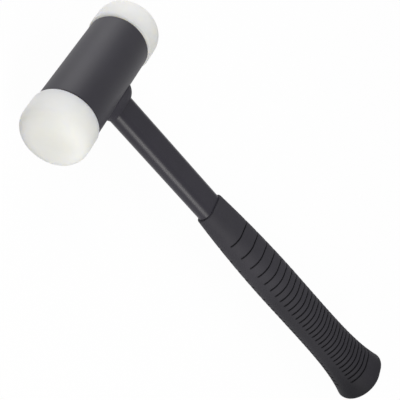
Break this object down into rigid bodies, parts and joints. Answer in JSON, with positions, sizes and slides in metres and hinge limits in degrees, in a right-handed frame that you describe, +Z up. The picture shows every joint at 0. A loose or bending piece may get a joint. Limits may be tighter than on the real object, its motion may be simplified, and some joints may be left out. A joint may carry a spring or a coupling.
{
  "type": "dead blow hammer",
  "caption": "Recoilless soft-face hammer with a round steel head full of loose shot, nylon striking faces, a welded tube handle and a grooved rubber grip.",
  "frame": {"origin": "middle of the underside of the bounding box, on the surface that the hammer lies on", "axes": "+X along the head towards the front face, +Y along the handle towards the butt, +Z up from the surface"},
  "size_m": [0.1436, 0.374, 0.05],
  "materials": {
    "head_paint": "satin graphite paint",
    "shaft_paint": "satin graphite paint",
    "nylon": "off-white nylon, fine satin",
    "steel": "plain steel",
    "plug_plastic": "moulded plastic",
    "grip_rubber": "matte moulded rubber"
  },
  "bodies": {
    "hammer": {"head_housing": "head_paint", "front_face": "nylon", "rear_face": "nylon", "front_disc": "steel", "rear_disc": "steel", "front_snap_ring": "steel", "rear_snap_ring": "steel", "neck_weld": "head_paint", "shaft_tube": "shaft_paint", "head_plug": "steel", "butt_plug": "plug_plastic", "grip": "grip_rubber"},
    "shot": {"steel_shot": "steel"}
  },
  "joints": [
    {"name": "shot_slide", "type": "slide", "parent": "hammer", "child": "shot", "axis": [1, 0, 0], "range_m": [-0.0108, 0.0108]}
  ]
}
